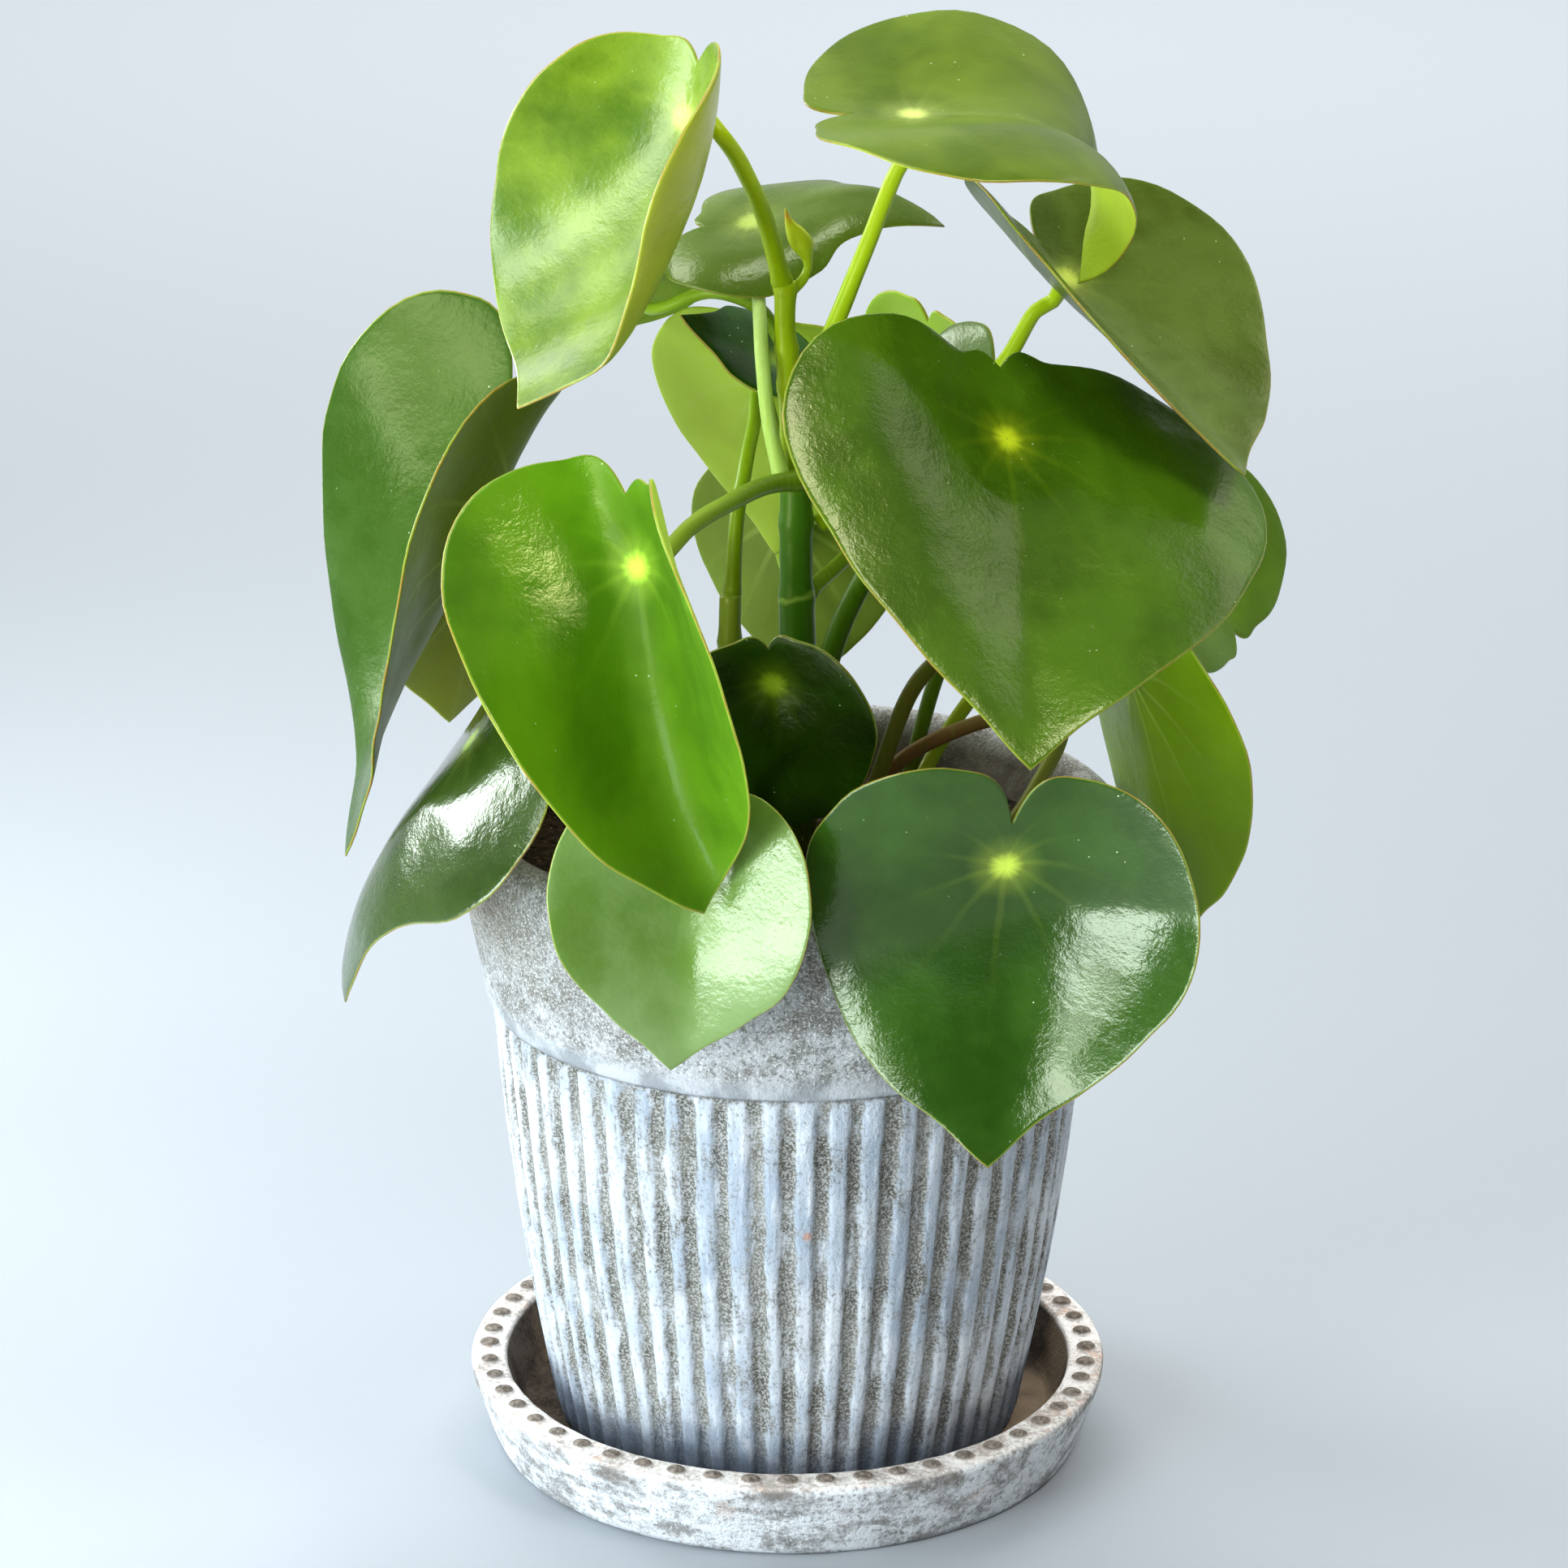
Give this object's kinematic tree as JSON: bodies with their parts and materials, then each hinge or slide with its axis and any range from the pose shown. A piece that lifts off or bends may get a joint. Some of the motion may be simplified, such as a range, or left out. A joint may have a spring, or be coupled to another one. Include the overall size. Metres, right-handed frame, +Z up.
{
  "type": "potted peperomia",
  "caption": "Heart-leaved peperomia growing in a ribbed, lime-washed clay pot that stands in a matching clay saucer with a beaded rim.",
  "frame": {"origin": "on the pot's axis, at the saucer's flat underside", "axes": "+Z up along the pot's axis; +X to the plant's right as seen from the front; -Y towards the front, the side that the large heart-shaped leaves face"},
  "size_m": [0.2332, 0.2155, 0.3564],
  "materials": {
    "saucer_clay": "unglazed terracotta, lime-washed, matt, mottled grey and dusty pink",
    "pot_clay": "unglazed clay, lime-washed: pale grey ridges over dark grey-brown grooves, matt",
    "soil": "dark moist peat mix, matt and crumbly",
    "stem": "smooth green stem, satin",
    "stalk": "smooth yellow-green stalk, reddish brown near the soil, satin",
    "leaf": "glossy thick leaf, mid green above with a yellow-green spot at the stalk, lime below"
  },
  "bodies": {
    "root": {"saucer": "saucer_clay", "pot": "pot_clay", "soil": "soil", "main_stem": "stem", "side_stem": "stem", "bud_leaf": "leaf", "leaf_top_left_blade": "leaf", "leaf_top_left_stalk": "stalk", "leaf_top_right_blade": "leaf", "leaf_top_right_stalk": "stalk", "leaf_upper_right_blade": "leaf", "leaf_upper_right_stalk": "stalk", "leaf_centre_large_blade": "leaf", "leaf_centre_large_stalk": "stalk", "leaf_mid_left_blade": "leaf", "leaf_mid_left_stalk": "stalk", "leaf_left_folded_blade": "leaf", "leaf_left_folded_stalk": "stalk", "leaf_left_back_blade": "leaf", "leaf_left_back_stalk": "stalk", "leaf_low_left_blade": "leaf", "leaf_low_left_stalk": "stalk", "leaf_front_left_blade": "leaf", "leaf_front_left_stalk": "stalk", "leaf_front_right_blade": "leaf", "leaf_front_right_stalk": "stalk", "leaf_small_centre_blade": "leaf", "leaf_small_centre_stalk": "stalk", "leaf_right_low_blade": "leaf", "leaf_right_low_stalk": "stalk", "leaf_right_back_blade": "leaf", "leaf_right_back_stalk": "stalk", "leaf_back_top_blade": "leaf", "leaf_back_top_stalk": "stalk", "leaf_back_pale_blade": "leaf", "leaf_back_pale_stalk": "stalk", "leaf_young_dark_blade": "leaf", "leaf_young_dark_stalk": "stalk", "leaf_back_left_blade": "leaf", "leaf_back_left_stalk": "stalk", "leaf_back_right_blade": "leaf", "leaf_back_right_stalk": "stalk", "leaf_back_centre_blade": "leaf", "leaf_back_centre_stalk": "stalk", "leaf_back_upper_blade": "leaf", "leaf_back_upper_stalk": "stalk"}
  },
  "joints": []
}
